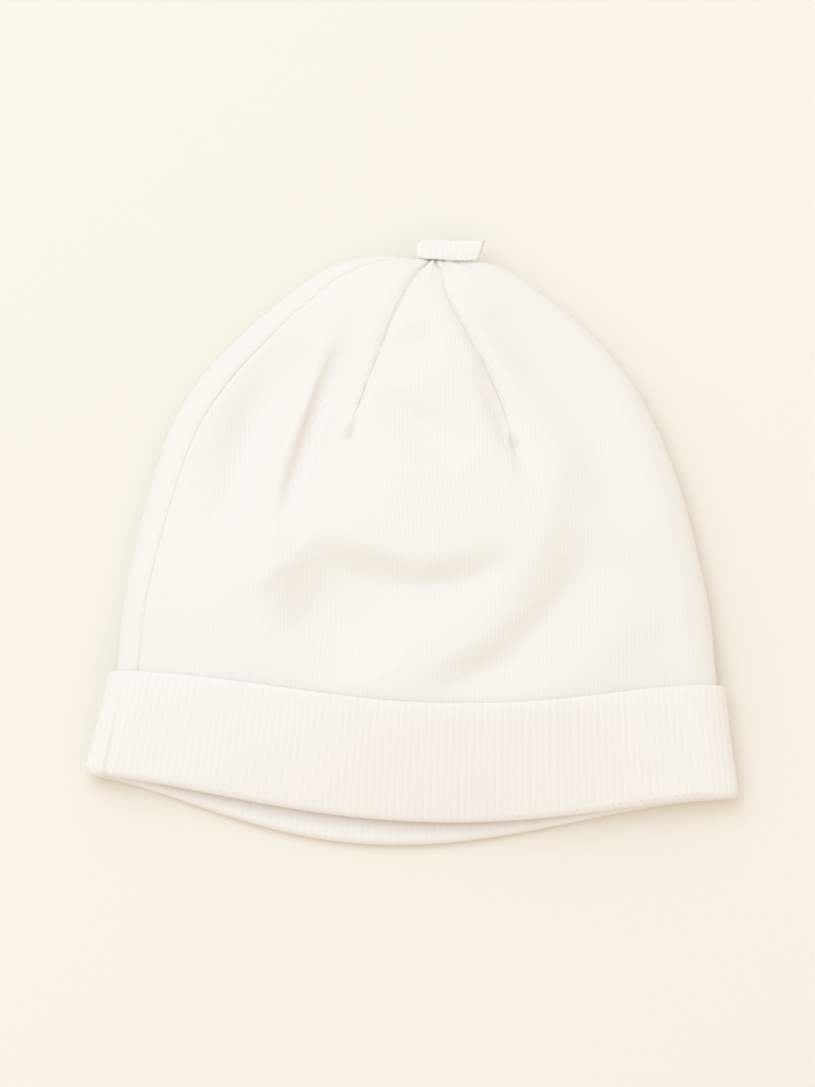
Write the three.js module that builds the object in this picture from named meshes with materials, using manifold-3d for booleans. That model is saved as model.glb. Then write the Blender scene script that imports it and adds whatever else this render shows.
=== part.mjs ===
// A baby's nightcap in fine rib knit, lying on its back: a dome sewn from a front and a back panel, each
// taken in by two darts, a doubled cuff turned up round the opening, and a small folded tab where the darts
// meet. Millimetres, +Z up. The cap lies on Z = 0 with its opening towards -Y and its front panel
// uppermost.

import * as THREE from "three";
import { mergeVertices } from "three/addons/utils/BufferGeometryUtils.js";
import Module from "manifold-3d";

const wasm = await Module();
wasm.setup();

// Driving sizes
const HEM_WIDTH = 168.3; // the cuff's lower edge from corner to corner, lying flat
const CAP_LENGTH = 148; // from the front hem to the gathered top
const LOFT = 23; // height of the front panel's crest
const EDGE_ROLL = 8; // how far in from a side the fabric has finished rolling over
const CROWN_WALL = 1.2; // one layer of knit
const CUFF_WALL = 1.8; // the cuff's two plies
const CUFF_HEIGHT = 28.5; // the turned-up leaf
const BAND_SEAM = 20; // how far above the hem the cuff's inner leaf is sewn to the panels
const PIECE_GAP = 0.3; // between pieces that are sewn together, and between the cuff's two leaves
const SEAM_OPENED = 1.6; // how much wider the gathered top pulls the side seams' gap, as a share of it
const SEAM_SPREAD = 6; // the power of the share along the cap by which it does so
const DART_DEPTH = 1.6;
const DART_WIDTH = 2.2;
const DART_TAPER = 0.05; // along the cap, how soon a dart is taken in to its full depth
const DARTS_EASED = 0.1; // along the cap, how far below the gathered top the darts begin to ease out
const DARTS_LEFT_IN = 0.2; // the share of their depth that is left at the gathered top
const CUFF_SEAM_DEPTH = 0.6;
const TAB_LENGTH = 17.5; // from the tab's left end to its right one
const TAB_WIDTH = 6.2;
const TAB_PLY = 0.9; // the tab is a strip folded double
const TAB_LEFT = 3.9; // from the gathered top to the tab's left end
const TAB_OUT = 2.3; // how far beyond the gathered top its middle line lies
const TAB_RISE = 4.3; // and how far above it
const TAB_SLANT = 0.33; // how far its right end leans, as a share of its width
const TAB_STEM = 4; // what is caught inside the gathered top
const FOLDS_BEGIN = 0.18; // along the front panel: level under the cuff up to here
const FOLDS_FULL = 0.27;

// Where lines lie round the cap: 0 is its left side, 1 the middle of the front, 2 its right side and 3 the
// middle of the back.
const ROUND = 4;
const LEFT_SIDE = 0;
const RIGHT_SIDE = 2;
const LEFT_SEAM = 0.24;
const LEFT_SEAM_TURN = 0.15; // how much further forward the left seam lies at the gathered top
const LEFT_SEAM_REACH = 0.42; // how far round the cap the fabric beside it turns with it
const RIGHT_SEAM = 2.18;
const CUFF_SEAM = 0.2;
const DARTS_MEET = 1.03; // where the front darts are drawn to
const DARTS_REACH = 0.6; // how far round the cap from there the fabric is drawn with them
const DARTS_DRAWN = 0.55; // the share of the way to there
const DRAWN_FROM = 0.66; // along the cap, where the drawing begins
const DRAWN_FULLY = 0.93;
const FRONT_CREASE = 0.68;
const DARTS = [
  { at: 0.81, end: 0.68 },
  { at: 1.285, end: 0.65 },
  { at: 2.82, end: 0.68 },
  { at: 3.26, end: 0.68 },
];

// Cross-sections from the hem to the gathered top. along: the front's middle, a share of CAP_LENGTH. left
// and right: the two sides, shares of half the body's width. leftUp and rightUp: how far up those sides
// lie, shares of CAP_LENGTH. raise and drop: how much higher the front's middle lies than that, and how
// much lower the back's. bow: how suddenly the section's line sags from its two sides to its middle, 1 for
// a plain arch. frontSkew and backSkew: how much further the sag lies to the right. lift: the share of the
// cuff's outer leaf that the section rests on. under, edge, rim and crest: heights of the underside, of the
// side's outermost line, of the front just inside the roll and of its middle, shares of LOFT.
const SECTIONS = [
  { along: 0, left: -1, leftUp: 0.092, right: 1, rightUp: 0.052, raise: 0.012, drop: 0.026,
    bow: 1.7, frontSkew: 0.1, backSkew: -0.35, lift: 1, under: 0, edge: 0.24, rim: 0.34, crest: 0.38 },
  { along: 0.1, left: -0.965, leftUp: 0.17, right: 0.98, rightUp: 0.139, raise: 0.006, drop: 0.019,
    bow: 1.9, frontSkew: 0.25, backSkew: -0.3, lift: 1, under: 0, edge: 0.26, rim: 0.41, crest: 0.57 },
  { along: 0.2, left: -0.931, leftUp: 0.26, right: 0.963, rightUp: 0.236, raise: 0.001, drop: 0.016,
    bow: 2, frontSkew: 0.4, backSkew: -0.2, lift: 1, under: 0, edge: 0.275, rim: 0.46, crest: 0.77 },
  { along: 0.3, left: -0.914, leftUp: 0.372, right: 0.945, rightUp: 0.368, raise: 0, drop: 0.012,
    bow: 1.6, frontSkew: 0.2, backSkew: 0, lift: 0, under: 0, edge: 0.255, rim: 0.475, crest: 0.94 },
  { along: 0.4, left: -0.88, leftUp: 0.482, right: 0.907, rightUp: 0.478, raise: 0, drop: 0.008,
    bow: 1.2, frontSkew: 0, backSkew: 0, lift: 0, under: 0, edge: 0.245, rim: 0.465, crest: 0.96 },
  { along: 0.5, left: -0.833, leftUp: 0.593, right: 0.858, rightUp: 0.589, raise: 0, drop: 0.005,
    bow: 1, frontSkew: 0, backSkew: 0, lift: 0, under: 0, edge: 0.245, rim: 0.46, crest: 0.93 },
  { along: 0.6, left: -0.774, leftUp: 0.696, right: 0.786, rightUp: 0.696, raise: 0, drop: 0,
    bow: 1, frontSkew: 0, backSkew: 0, lift: 0, under: 0, edge: 0.245, rim: 0.45, crest: 0.88 },
  { along: 0.7, left: -0.669, leftUp: 0.793, right: 0.692, rightUp: 0.793, raise: 0, drop: 0,
    bow: 1, frontSkew: 0, backSkew: 0, lift: 0, under: 0, edge: 0.245, rim: 0.44, crest: 0.82 },
  { along: 0.8, left: -0.527, leftUp: 0.878, right: 0.559, rightUp: 0.878, raise: 0, drop: 0,
    bow: 1, frontSkew: 0, backSkew: 0, lift: 0, under: 0, edge: 0.25, rim: 0.43, crest: 0.75 },
  { along: 0.88, left: -0.392, leftUp: 0.941, right: 0.424, rightUp: 0.941, raise: 0, drop: 0,
    bow: 1, frontSkew: 0, backSkew: 0, lift: 0, under: 0, edge: 0.26, rim: 0.42, crest: 0.67 },
  { along: 0.94, left: -0.259, leftUp: 0.991, right: 0.311, rightUp: 0.985, raise: 0, drop: 0,
    bow: 1, frontSkew: 0, backSkew: 0, lift: 0, under: 0.02, edge: 0.27, rim: 0.41, crest: 0.58 },
  { along: 0.98, left: -0.101, leftUp: 1.013, right: 0.202, rightUp: 1.003, raise: 0, drop: 0,
    bow: 1, frontSkew: 0, backSkew: 0, lift: 0, under: 0.08, edge: 0.28, rim: 0.41, crest: 0.48 },
  { along: 1, left: 0.022, leftUp: 1.003, right: 0.107, rightUp: 0.998, raise: 0, drop: 0,
    bow: 1, frontSkew: 0, backSkew: 0, lift: 0, under: 0.15, edge: 0.29, rim: 0.43, crest: 0.43 },
];

// Folds pressed into the front panel, seen from above. x: share of half the body's width. y: share of
// CAP_LENGTH, up from the front hem. The fold runs from one end to the other, bending towards "by".
// leftHalf and rightHalf: its half width on its left and on its right, as one walks along it, shares of half
// the body's width. rise: its height as a share of LOFT, less than 0 for a valley.
const FOLDS = [
  { name: "left crease", fromX: -0.17, fromY: 0.9, byX: -0.27, byY: 0.71, toX: -0.43, toY: 0.48,
    leftHalf: 0.1, rightHalf: 0.045, rise: -0.19 },
  { name: "smiling valley", fromX: -0.35, fromY: 0.45, byX: 0.04, byY: 0.335, toX: 0.4, toY: 0.46,
    leftHalf: 0.065, rightHalf: 0.15, rise: -0.22 },
  { name: "lower left valley", fromX: -0.42, fromY: 0.43, byX: -0.29, byY: 0.35, toX: -0.1, toY: 0.24,
    leftHalf: 0.12, rightHalf: 0.12, rise: -0.19 },
  { name: "lower right valley", fromX: 0.58, fromY: 0.5, byX: 0.45, byY: 0.27, toX: -0.03, toY: 0.18,
    leftHalf: 0.13, rightHalf: 0.07, rise: -0.19 },
  { name: "right outer valley", fromX: 0.25, fromY: 0.91, byX: 0.61, byY: 0.78, toX: 0.65, toY: 0.48,
    leftHalf: 0.09, rightHalf: 0.09, rise: -0.11 },
  { name: "left outer valley", fromX: -0.34, fromY: 0.86, byX: -0.64, byY: 0.68, toX: -0.54, toY: 0.42,
    leftHalf: 0.1, rightHalf: 0.1, rise: -0.15 },
  { name: "hooked ridge", fromX: 0.45, fromY: 0.69, byX: 0.5, byY: 0.38, toX: -0.06, toY: 0.3,
    leftHalf: 0.06, rightHalf: 0.06, rise: 0.05 },
  { name: "thin left ridge", fromX: -0.34, fromY: 0.76, byX: -0.46, byY: 0.6, toX: -0.43, toY: 0.42,
    leftHalf: 0.04, rightHalf: 0.04, rise: 0.04 },
];

// The tab from its left end to its right one. length: share of TAB_LENGTH. wide and thick: shares of
// TAB_WIDTH and of its two plies. slant: share of TAB_SLANT.
const TAB_ROWS = [
  { length: 0.0, wide: 0.5, thick: 0.55, slant: 0 },
  { length: 0.04, wide: 0.76, thick: 0.85, slant: 0 },
  { length: 0.12, wide: 0.94, thick: 1.0, slant: 0 },
  { length: 0.35, wide: 1.0, thick: 1.0, slant: 0.1 },
  { length: 0.65, wide: 0.97, thick: 1.0, slant: 0.4 },
  { length: 0.9, wide: 1.0, thick: 0.95, slant: 0.9 },
  { length: 1.0, wide: 0.98, thick: 0.8, slant: 1 },
];

// The tab's gathered root, out of the dome and up into the tab. out: share of TAB_OUT. rise: share of
// TAB_RISE.
const ROOT_ROWS = [
  { out: 0, rise: 0 },
  { out: 0.62, rise: 0.04 },
  { out: 0.9, rise: 0.2 },
  { out: 1.0, rise: 0.5 },
  { out: 1.0, rise: 0.9 },
];

// How finely the pieces are faceted, between the lines that their shape follows
const FOLD_PLACES = 24; // places along a fold that a point's distance is measured to
const COLUMN_STEP = 0.085; // round the cap, at most
const LINE_HALF = 0.035; // round the cap, from a dart or a crease to the columns beside it
const ROW_STEP = 0.045; // along the cap, at most
const SHOULDER = 0.92; // along the cap, where the gathered top's rows begin
const TOP_ROW_STEP = 0.01; // along the cap, at most, from there on
const CUFF_LEAF_STEPS = 4;
const FOLD_STEPS = 5;
const DIFFERENCE = 1e-3; // the step for slopes of the surface

const BODY_HALF = HEM_WIDTH / 2 - CUFF_WALL - PIECE_GAP;
const LEAF_OUT = CUFF_WALL + PIECE_GAP; // from the body's surface to the outside of the cuff
const KNIT = { color: 0xf5f2ec, roughness: 0.95, metalness: 0 };

const clamp01 = (value) => Math.min(1, Math.max(0, value));

// Slopes for a curve through a table's column that never overshoots between two rows.
function columnSlopes(rows, column) {
  const secants = rows.slice(1).map((row, i) => {
    return (row[column] - rows[i][column]) / (row.along - rows[i].along);
  });
  return rows.map((_, i) => {
    if (i === 0) return secants[0];
    if (i === rows.length - 1) return secants[i - 1];
    const before = secants[i - 1];
    const after = secants[i];
    return before * after <= 0 ? 0 : (2 * before * after) / (before + after);
  });
}

const SLOPES = Object.fromEntries(
  Object.keys(SECTIONS[0]).map((column) => [column, columnSlopes(SECTIONS, column)]),
);

// A column of SECTIONS read at any share of the length.
function read(column, along) {
  const last = SECTIONS.length - 2;
  const found = SECTIONS.findIndex((row, i) => i <= last && along <= SECTIONS[i + 1].along);
  const i = found < 0 ? last : found;
  const [low, high] = [SECTIONS[i], SECTIONS[i + 1]];
  const span = high.along - low.along;
  const t = (along - low.along) / span;
  const rise = t * t * (3 - 2 * t);
  const lean = span * t * (1 - t);
  return (
    low[column] * (1 - rise) +
    high[column] * rise +
    lean * ((1 - t) * SLOPES[column][i] - t * SLOPES[column][i + 1])
  );
}

// A fold's bent line at a share of the way along it, in plan.
function foldLine(fold, t) {
  const [a, b, c] = [(1 - t) * (1 - t), 2 * t * (1 - t), t * t];
  const x = (a * fold.fromX + b * fold.byX + c * fold.toX) * BODY_HALF;
  const y = (a * fold.fromY + b * fold.byY + c * fold.toY) * CAP_LENGTH;
  return { x, y };
}

// Height that one fold adds at a point in plan: a bell across its line, fading towards the line's two ends.
function foldRise(fold, x, y) {
  let nearest = Infinity;
  let share = 0;
  let onLeft = true;
  for (let i = 0; i < FOLD_PLACES; i++) {
    const t = i / FOLD_PLACES;
    const [here, next] = [foldLine(fold, t), foldLine(fold, t + 1 / FOLD_PLACES)];
    const distance = Math.hypot(x - here.x, y - here.y);
    if (distance < nearest) {
      nearest = distance;
      share = t;
      onLeft = (next.x - here.x) * (y - here.y) > (next.y - here.y) * (x - here.x);
    }
  }
  const off = nearest / ((onLeft ? fold.leftHalf : fold.rightHalf) * BODY_HALF);
  return fold.rise * LOFT * 4 * share * (1 - share) * Math.exp(-off * off);
}

// Height that the folds add to the front panel at a point in plan.
function foldHeight(x, y) {
  return FOLDS.reduce((sum, fold) => sum + foldRise(fold, x, y), 0);
}

// How deep the darts are taken in at a place round the cap and along it.
function dartDepth(round, along, halfWidth) {
  return DARTS.reduce((sum, dart) => {
    const off = ((round - dart.at) * halfWidth * Math.PI) / 2 / DART_WIDTH;
    const begun = clamp01((along - dart.end) / DART_TAPER + 0.5);
    const eased = clamp01((1 - along) / DARTS_EASED + DARTS_LEFT_IN);
    return sum + DART_DEPTH * begun * eased * Math.exp(-off * off);
  }, 0);
}

// How far the fabric at a place has turned round the cap: with the left seam, and with the front darts.
function turned(round, along) {
  const fromSeam = Math.abs(((round - LEFT_SEAM + ROUND / 2 + ROUND) % ROUND) - ROUND / 2);
  const withSeam = LEFT_SEAM_TURN * along * along * Math.max(0, 1 - fromSeam / LEFT_SEAM_REACH);
  const fromDarts = ((round - DARTS_MEET + ROUND / 2 + ROUND) % ROUND) - ROUND / 2;
  const near = Math.max(0, 1 - (fromDarts / DARTS_REACH) ** 2) ** 2;
  const drawn = DARTS_DRAWN * clamp01((along - DRAWN_FROM) / (DRAWN_FULLY - DRAWN_FROM)) ** 2;
  return withSeam - drawn * near * fromDarts;
}

// A point of the body's outer surface. round runs once round the cap, along from the hem to the gathered top.
function bodyPoint(round, along) {
  const place = (round + turned(round, along) + ROUND) % ROUND;
  const front = place <= RIGHT_SIDE;
  const across = Math.sin((Math.PI / 2) * (front ? place - 1 : 3 - place));
  const [left, right] = [read("left", along) * BODY_HALF, read("right", along) * BODY_HALF];
  const [leftUp, rightUp] = [read("leftUp", along) * CAP_LENGTH, read("rightUp", along) * CAP_LENGTH];
  const halfWidth = (right - left) / 2;
  const x = (left + right) / 2 + across * halfWidth;
  const middle = (along + (front ? read("raise", along) : -read("drop", along))) * CAP_LENGTH;
  const sides = (leftUp + rightUp) / 2;
  const skew = 1 + across * read(front ? "frontSkew" : "backSkew", along);
  const sag = Math.pow(Math.max(0, 1 - across * across), read("bow", along)) * skew;
  const y = sides + (across * (rightUp - leftUp)) / 2 - (sides - middle) * sag;
  const edge = read("edge", along) * LOFT;
  const rollShare = Math.min(1, EDGE_ROLL / halfWidth);
  const outward = clamp01((Math.abs(across) - 1 + rollShare) / rollShare);
  const rolled = Math.sqrt(1 - outward * outward);
  const taken = dartDepth(round, along, halfWidth);
  if (!front) {
    const under = read("under", along) * LOFT + read("lift", along) * LEAF_OUT;
    return new THREE.Vector3(x, y, edge - (edge - under) * rolled + taken);
  }
  const rim = read("rim", along) * LOFT;
  const crest = read("crest", along) * LOFT;
  const dome = Math.pow(Math.max(0, 1 - across * across), 1.5);
  const calm = clamp01((along - FOLDS_BEGIN) / (FOLDS_FULL - FOLDS_BEGIN));
  const folds = foldHeight(x, y) * rolled * calm * calm * (3 - 2 * calm);
  return new THREE.Vector3(x, y, edge + (rim - edge) * rolled + (crest - rim) * dome + folds - taken);
}

// A point at a distance out from the body's surface, and further up it or sideways round it.
function offBody(round, along, out, up = 0, sideways = 0) {
  const back = bodyPoint(round, Math.max(0, along - DIFFERENCE));
  const upward = bodyPoint(round, Math.min(1, along + DIFFERENCE)).sub(back).normalize();
  const turning = bodyPoint(round + DIFFERENCE, along).sub(bodyPoint(round - DIFFERENCE, along)).normalize();
  const outward = turning.clone().cross(upward).normalize();
  const beside = upward.clone().cross(outward);
  const point = bodyPoint(round, along).addScaledVector(outward, out);
  return point.addScaledVector(upward, up).addScaledVector(beside, sideways);
}

// Places from mark to mark, evenly spaced between them and no further apart than step.
function stations(marks, step) {
  const spans = marks.slice(1).map((mark, i) => ({ from: marks[i], span: mark - marks[i] }));
  const filled = spans.flatMap(({ from, span }) => {
    const count = Math.ceil(span / step - 1e-9);
    return Array.from({ length: count }, (_, k) => from + (span * k) / count);
  });
  return [...filled, marks[marks.length - 1]];
}

// Columns round the cap between two places, with one on each line and one close beside it on each hand.
function columns(from, to, lines) {
  const marks = lines.flatMap((line) => [line - LINE_HALF, line, line + LINE_HALF]);
  return stations([from, ...marks, to], COLUMN_STEP);
}

const FRONT_COLUMNS = columns(LEFT_SEAM, RIGHT_SEAM, [FRONT_CREASE, DARTS[0].at, DARTS[1].at]);
const BACK_COLUMNS = columns(RIGHT_SEAM, ROUND + LEFT_SEAM, [DARTS[2].at, DARTS[3].at, ROUND + CUFF_SEAM]);

// A closed body from rows of points: each row is a closed ring, and the rings are joined in order by quads,
// each split along its shorter diagonal. The last ring joins the first one when looped, and otherwise each
// end ring is closed by a strip from its first half to its second.
function ringBody(rings, looped) {
  const size = rings[0].length;
  const points = rings.flat();
  const triangles = [];
  const addQuad = (a, b, c, d) => {
    const split = points[a].distanceTo(points[c]) <= points[b].distanceTo(points[d]);
    triangles.push(...(split ? [a, b, c, a, c, d] : [a, b, d, b, c, d]));
  };
  const joined = looped ? rings.length : rings.length - 1;
  for (let i = 0; i < joined; i++) {
    const [here, next] = [i * size, ((i + 1) % rings.length) * size];
    for (let k = 0; k < size; k++) {
      const turn = (k + 1) % size;
      addQuad(here + k, here + turn, next + turn, next + k);
    }
  }
  if (!looped) {
    const end = (rings.length - 1) * size;
    for (let k = 0; k < size / 2 - 1; k++) {
      const [opposite, beside] = [size - 1 - k, size - 2 - k];
      addQuad(k, opposite, beside, k + 1);
      addQuad(end + k, end + k + 1, end + beside, end + opposite);
    }
  }
  const geometry = new THREE.BufferGeometry();
  geometry.setFromPoints(points);
  geometry.setIndex(triangles);
  geometry.computeVertexNormals();
  return geometry;
}

function piece(name, geometry) {
  const mesh = new THREE.Mesh(geometry, new THREE.MeshStandardMaterial(KNIT));
  mesh.name = name;
  return mesh;
}

// One panel of the dome: each row of it goes along the outside from seam to seam and back along the inside.
function panel(name, across) {
  const [from, to] = [across[0], across[across.length - 1]];
  const sewn = (BAND_SEAM + PIECE_GAP) / CAP_LENGTH;
  const lower = stations([sewn, CUFF_HEIGHT / CAP_LENGTH, SHOULDER], ROW_STEP);
  const length = [...lower, ...stations([SHOULDER, 1], TOP_ROW_STEP).slice(1)];
  const rings = length.map((along) => {
    const half = (PIECE_GAP / 2) * (1 + SEAM_OPENED * along ** SEAM_SPREAD);
    const layer = (out) =>
      across.map((round) => {
        const sideways = round === from ? half : round === to ? -half : 0;
        return offBody(round, along, out, 0, sideways);
      });
    return [...layer(0), ...layer(-CROWN_WALL).reverse()];
  });
  return piece(name, ringBody(rings, false));
}

// The cuff's section, as places {along, out, up} round a hairpin: up the outer leaf, over its free edge,
// down its inside, round the hem's inner bend, up the inner leaf and down its inside to the hem's outer
// bend.
function cuffSection() {
  const top = CUFF_HEIGHT / CAP_LENGTH;
  const sewn = BAND_SEAM / CAP_LENGTH;
  const leaf = (from, to, out) =>
    Array.from({ length: CUFF_LEAF_STEPS + 1 }, (_, i) => {
      const share = i / CUFF_LEAF_STEPS;
      return { along: from + (to - from) * share, out, up: 0 };
    });
  const bend = (radius, from, to) =>
    Array.from({ length: FOLD_STEPS - 1 }, (_, i) => {
      const angle = from + ((to - from) * (i + 1)) / FOLD_STEPS;
      return { along: 0, out: PIECE_GAP / 2 + radius * Math.sin(angle), up: -radius * Math.cos(angle) };
    });
  const quarter = Math.PI / 2;
  return [
    ...leaf(0, top, LEAF_OUT),
    { along: top, out: PIECE_GAP + CUFF_WALL / 2, up: CUFF_WALL / 2 },
    ...leaf(top, 0, PIECE_GAP),
    ...bend(PIECE_GAP / 2, quarter, -quarter),
    ...leaf(0, sewn, 0),
    ...leaf(sewn, 0, -CUFF_WALL),
    ...bend(PIECE_GAP / 2 + CUFF_WALL, -quarter, quarter),
  ];
}

function cuff() {
  const round = [...FRONT_COLUMNS.slice(0, -1), ...BACK_COLUMNS.slice(0, -1)];
  const section = cuffSection();
  const rings = round.map((place) => {
    const seamed = place === ROUND + CUFF_SEAM ? CUFF_SEAM_DEPTH : 0;
    return section.map(({ along, out, up }) => {
      const outermost = out > PIECE_GAP;
      return offBody(place, along, outermost ? out - seamed : out, up);
    });
  });
  return piece("cuff", ringBody(rings.map((ring) => ring.reverse()), true));
}

// A ring of the tab: two plies one on the other, with a furrow between them along both edges.
function tabRing(at, side, upward, half, ply) {
  const furrow = 0.5 * ply;
  const outline = [
    [-half, ply * 0.4],
    [-half + furrow, ply],
    [0, ply * 1.08],
    [half - furrow, ply],
    [half, ply * 0.4],
    [half - furrow, 0],
  ];
  const turned = outline.map(([across, rise]) => [-across, -rise]);
  return [...outline, ...turned].map(([across, rise]) =>
    at.clone().addScaledVector(side, across).addScaledVector(upward, rise),
  );
}

function solidOf(geometry) {
  geometry.deleteAttribute("normal");
  geometry.deleteAttribute("uv");
  const merged = mergeVertices(geometry);
  const triVerts = new Uint32Array(merged.index.array);
  const vertProperties = merged.attributes.position.array;
  return new wasm.Manifold(new wasm.Mesh({ numProp: 3, vertProperties, triVerts }));
}

function geometryOf(solid) {
  const mesh = solid.getMesh();
  const geometry = new THREE.BufferGeometry();
  geometry.setAttribute("position", new THREE.BufferAttribute(mesh.vertProperties, 3));
  geometry.setIndex(new THREE.BufferAttribute(mesh.triVerts, 1));
  geometry.computeVertexNormals();
  return geometry;
}

// The tab: a strip folded double that lies to the right over the dome's top edge, joined to its gathered
// root.
function topTab() {
  const [left, right] = [bodyPoint(LEFT_SIDE, 1), bodyPoint(RIGHT_SIDE, 1)];
  const [above, below] = [bodyPoint(1, 1), bodyPoint(3, 1)];
  const top = new THREE.Vector3((left.x + right.x) / 2, (left.y + right.y) / 2, (above.z + below.z) / 2);
  const rootHalf = (right.x - left.x) / 2 - CROWN_WALL - PIECE_GAP;
  const rootPly = Math.min(TAB_PLY, (above.z - below.z) / 2 - CROWN_WALL - PIECE_GAP);
  const towardsFront = new THREE.Vector3(0, -1, 0);
  const upward = new THREE.Vector3(0, 0, 1);
  const strip = TAB_ROWS.map(({ length, wide, thick, slant }) => {
    const at = top.clone().add(new THREE.Vector3(length * TAB_LENGTH - TAB_LEFT, TAB_OUT, TAB_RISE));
    const side = towardsFront.clone().setX(-slant * TAB_SLANT);
    return tabRing(at, side, upward, (wide * TAB_WIDTH) / 2, thick * TAB_PLY);
  });
  const places = ROOT_ROWS.map(({ out, rise }) =>
    top.clone().add(new THREE.Vector3(0, out * TAB_OUT, rise * TAB_RISE)),
  );
  places.unshift(top.clone().setY(top.y - TAB_STEM));
  const across = new THREE.Vector3(1, 0, 0);
  const root = places.map((at, i) => {
    const before = places[Math.max(0, i - 1)];
    const after = places[Math.min(places.length - 1, i + 1)];
    const direction = after.clone().sub(before).normalize();
    return tabRing(at, across, across.clone().cross(direction), rootHalf, rootPly);
  });
  const joined = solidOf(ringBody(strip, false)).add(solidOf(ringBody(root, false)));
  return piece("top_tab", geometryOf(joined));
}

const cap = new THREE.Group();
cap.add(
  panel("crown_front", FRONT_COLUMNS),
  panel("crown_back", BACK_COLUMNS),
  cuff(),
  topTab(),
);

// The frame's origin is the middle of the cap's outline, on the surface that it lies on.
const box = new THREE.Box3().setFromObject(cap);
const middle = box.getCenter(new THREE.Vector3());
cap.position.set(-middle.x, -middle.y, -box.min.z);

export default cap;
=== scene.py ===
"""A baby's nightcap in fine off-white rib knit, lying on its back on a pale cream floor.

The dome is two sewn panels, each taken in by two darts, on a doubled cuff that is turned up round
the opening, and a small folded tab lies where the darts meet. Lengths are in metres, +Z is up, and
the opening faces -Y.
"""

import math

import bpy
import numpy as np
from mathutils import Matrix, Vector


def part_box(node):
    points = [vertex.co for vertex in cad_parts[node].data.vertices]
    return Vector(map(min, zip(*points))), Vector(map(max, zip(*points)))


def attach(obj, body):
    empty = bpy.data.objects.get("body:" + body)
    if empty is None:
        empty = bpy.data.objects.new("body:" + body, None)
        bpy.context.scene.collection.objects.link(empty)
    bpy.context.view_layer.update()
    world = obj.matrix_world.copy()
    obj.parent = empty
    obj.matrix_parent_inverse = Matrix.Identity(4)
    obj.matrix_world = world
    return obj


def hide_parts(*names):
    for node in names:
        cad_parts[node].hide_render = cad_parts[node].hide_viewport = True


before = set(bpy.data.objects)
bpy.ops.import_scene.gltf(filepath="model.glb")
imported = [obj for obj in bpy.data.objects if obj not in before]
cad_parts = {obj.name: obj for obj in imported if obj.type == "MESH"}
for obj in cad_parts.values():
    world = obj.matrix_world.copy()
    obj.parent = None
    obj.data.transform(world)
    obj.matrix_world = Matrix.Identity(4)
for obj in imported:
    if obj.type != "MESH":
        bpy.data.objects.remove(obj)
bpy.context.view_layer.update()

MM = 0.001
STEP = 1e-3  # the small difference that slopes are taken over, round the cap and along it

# Driving sizes, the same as the solids'.
HEM_WIDTH = 0.1683
CAP_LENGTH = 0.148
LOFT = 0.023
EDGE_ROLL = 0.008
CROWN_WALL = 0.0012
CUFF_WALL = 0.0018
CUFF_HEIGHT = 0.0285
BAND_SEAM = 0.020
PIECE_GAP = 0.0003
BODY_HALF = HEM_WIDTH / 2 - CUFF_WALL - PIECE_GAP
LEAF_OUT = CUFF_WALL + PIECE_GAP
TAB_LENGTH = 0.0175
TAB_WIDTH = 0.0062
TAB_PLY = 0.0009
TAB_LEFT = 0.0039
TAB_OUT = 0.0023
TAB_RISE = 0.0043
TAB_SLANT = 0.33
PRESSED_WIDTH = 0.0053  # the tab's strip, pressed flatter on the cap than its solid
PRESSED_PLY = 0.0006
PRESSED_DOWN = 0.0011

# Where lines lie round the cap: 0 is its left side, 1 the middle of the front, 2 its right side and
# 3 the middle of the back.
ROUND = 4.0
LEFT_SEAM = 0.24
LEFT_SEAM_TURN = 0.15
LEFT_SEAM_REACH = 0.42
RIGHT_SEAM = 2.18
CUFF_SEAM = 0.2
DARTS_MEET = 1.03
DARTS_REACH = 0.6
DARTS_DRAWN = 0.55
DRAWN_FROM = 0.66
DRAWN_FULLY = 0.93
# Each dart: where it lies, where it ends along the cap, and how much more the cloth is pulled in
# along its middle.
DARTS_FRONT = ((0.81, 0.68, 0.15), (1.285, 0.65, 1.1))
DARTS_BACK = ((2.82, 0.68, 0.3), (3.26, 0.68, 0.3))
FOLDS_BEGIN = 0.18
FOLDS_FULL = 0.27

# Knit: the ribs' pitch, and the height of one course of stitches.
CUFF_RIB = 0.0018
CROWN_RIB = 0.0011
CUFF_COURSE = 0.0011
CROWN_COURSE = 0.0009
CONTACT = 0.00004  # how far above the floor the cloth that rests on it is flattened
INNER_SHARE = 0.85  # how much of a panel's fine relief shows on its inner face

# A panel's grid: its rows, every so-many of which its inner face has too, and its columns from seam
# to dart, from dart to dart and from dart to seam.
PANEL_ROWS = 241
INNER_EVERY = 4
FRONT_COLUMNS = (74, 66, 92)
BACK_COLUMNS = (58, 46, 86)

# Fine relief of the panels, made of bells: their heights or depths, and their half widths.
DART_CUT, DART_CUT_HALF = 0.0006, 0.0004  # the sewn line
DART_FURROW, DART_FURROW_HALF = 0.0009, 0.0022  # the cloth that it draws in
DART_LIP, DART_LIP_HALF, DART_LIP_OUT = 0.00010, 0.0009, 0.0014
DIMPLE, DIMPLE_HALF, DIMPLE_LONG = 0.0026, 0.0010, 2.2
SEAM_CUT, SEAM_CUT_HALF = 0.0003, 0.0005
SEAM_DIP, SEAM_DIP_HALF = 0.00022, 0.0018
SEAM_LIP, SEAM_LIP_HALF, SEAM_LIP_IN = 0.00007, 0.0009, 0.0013
SEAM_CLOSED = 0.00011  # how much less each sewn edge is set back than in the solids
GATHER_HEIGHT, GATHERS = 0.0002, 7
UNEVEN_HEIGHT = 0.00012
DART_PUCKER = (0.25, 0.0011, 1.3, 0.004)  # as puckered takes them
SEAM_PUCKER = (0.3, 0.0012, 1.1, 0.0047)
NARROW_PANEL = 0.03  # the width below which the darts' relief narrows with the panel

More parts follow.
